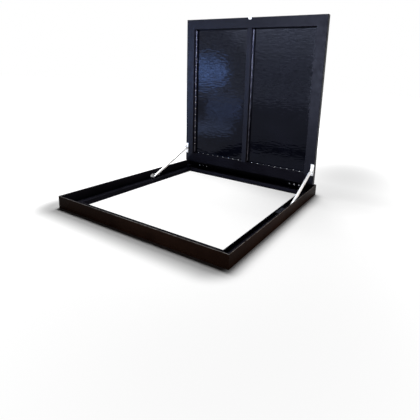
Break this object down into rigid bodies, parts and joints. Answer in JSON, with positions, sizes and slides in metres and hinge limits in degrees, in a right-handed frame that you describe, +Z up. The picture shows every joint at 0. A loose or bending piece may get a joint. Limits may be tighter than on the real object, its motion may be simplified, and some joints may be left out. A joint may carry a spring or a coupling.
{
  "type": "hinged access cover",
  "caption": "Square hinged access cover: an angle-section frame with a flush steel lid that stands open on butt hinges and gas struts, for a floor or roof opening.",
  "frame": {"origin": "middle of the frame's underside, on the surface it stands on", "axes": "+Z up, hinges on the +Y side, +X to the right seen from the front"},
  "size_m": [1.2, 1.2, 1.2601],
  "materials": {
    "frame_paint": "gloss",
    "lid_paint": "satin",
    "liner_enamel": "gloss",
    "zinc_plate": "satin",
    "strut_tube_steel": "satin",
    "strut_rod_chrome": "polished",
    "gland_plastic": "matte"
  },
  "bodies": {
    "frame": {"corner_rest_front_left": "frame_paint", "corner_rest_front_right": "frame_paint", "corner_rest_rear_left": "frame_paint", "corner_rest_rear_right": "frame_paint", "frame_front": "frame_paint", "frame_left": "frame_paint", "frame_lip_front": "frame_paint", "frame_lip_left": "frame_paint", "frame_lip_rear": "frame_paint", "frame_lip_right": "frame_paint", "frame_rear": "frame_paint", "frame_right": "frame_paint", "hinge_frame_leaf_left": "frame_paint", "hinge_frame_leaf_right": "frame_paint", "hinge_frame_screws": "zinc_plate", "hinge_pin_left": "frame_paint", "hinge_pin_right": "frame_paint", "side_keeper": "zinc_plate", "strut_frame_bracket_left": "zinc_plate", "strut_frame_bracket_right": "zinc_plate", "strut_frame_screws": "zinc_plate"},
    "lid": {"hinge_lid_leaf_left": "lid_paint", "hinge_lid_leaf_right": "lid_paint", "hinge_lid_screws": "zinc_plate", "lid_liner_left": "liner_enamel", "lid_liner_right": "liner_enamel", "lid_plate": "lid_paint", "lid_rail_front": "lid_paint", "lid_rail_left": "lid_paint", "lid_rail_rear": "lid_paint", "lid_rail_right": "lid_paint", "lid_stiffener": "lid_paint", "strike_plate": "zinc_plate", "strike_screws": "zinc_plate", "strut_lid_bracket_left": "zinc_plate", "strut_lid_bracket_right": "zinc_plate", "strut_lid_pin_left": "zinc_plate", "strut_lid_pin_right": "zinc_plate", "strut_lid_screws": "zinc_plate"},
    "strut_cylinder_left": {"strut_tube_left": "strut_tube_steel", "strut_tube_eye_left": "zinc_plate", "strut_gland_left": "gland_plastic"},
    "strut_rod_left": {"strut_rod_left": "strut_rod_chrome", "strut_rod_eye_left": "zinc_plate", "strut_piston_left": "zinc_plate", "strut_stud_left": "zinc_plate", "strut_sleeve_left": "strut_tube_steel"},
    "strut_cylinder_right": {"strut_tube_right": "strut_tube_steel", "strut_tube_eye_right": "zinc_plate", "strut_gland_right": "gland_plastic"},
    "strut_rod_right": {"strut_rod_right": "strut_rod_chrome", "strut_rod_eye_right": "zinc_plate", "strut_piston_right": "zinc_plate", "strut_stud_right": "zinc_plate", "strut_sleeve_right": "strut_tube_steel"}
  },
  "joints": [
    {"name": "lid_hinge", "type": "hinge", "parent": "frame", "child": "lid", "pos_m": [0, 0.58925, 0.0808], "axis": [1, 0, 0], "range_deg": [0, 90], "stiffness_Nm_per_rad": 60, "springref_deg": -85.94},
    {"name": "strut_pivot_left", "type": "hinge", "parent": "lid", "child": "strut_cylinder_left", "pos_m": [-0.5735, 0.52845, 0.1948], "axis": [1, 0, 0], "range_deg": [-115, 0]},
    {"name": "strut_slide_left", "type": "slide", "parent": "strut_cylinder_left", "child": "strut_rod_left", "axis": [0, -0.9118, -0.4106], "range_m": [-0.091, 0]},
    {"name": "strut_pivot_right", "type": "hinge", "parent": "lid", "child": "strut_cylinder_right", "pos_m": [0.5735, 0.52845, 0.1948], "axis": [1, 0, 0], "range_deg": [-115, 0]},
    {"name": "strut_slide_right", "type": "slide", "parent": "strut_cylinder_right", "child": "strut_rod_right", "axis": [0, -0.9118, -0.4106], "range_m": [-0.091, 0]}
  ],
  "couplings": [
    {"joint": "strut_pivot_left", "follows": "lid_hinge", "ratio": -1.2693},
    {"joint": "strut_slide_left", "follows": "lid_hinge", "m_per_rad": -0.057767},
    {"joint": "strut_pivot_right", "follows": "lid_hinge", "ratio": -1.2693},
    {"joint": "strut_slide_right", "follows": "lid_hinge", "m_per_rad": -0.057767}
  ]
}
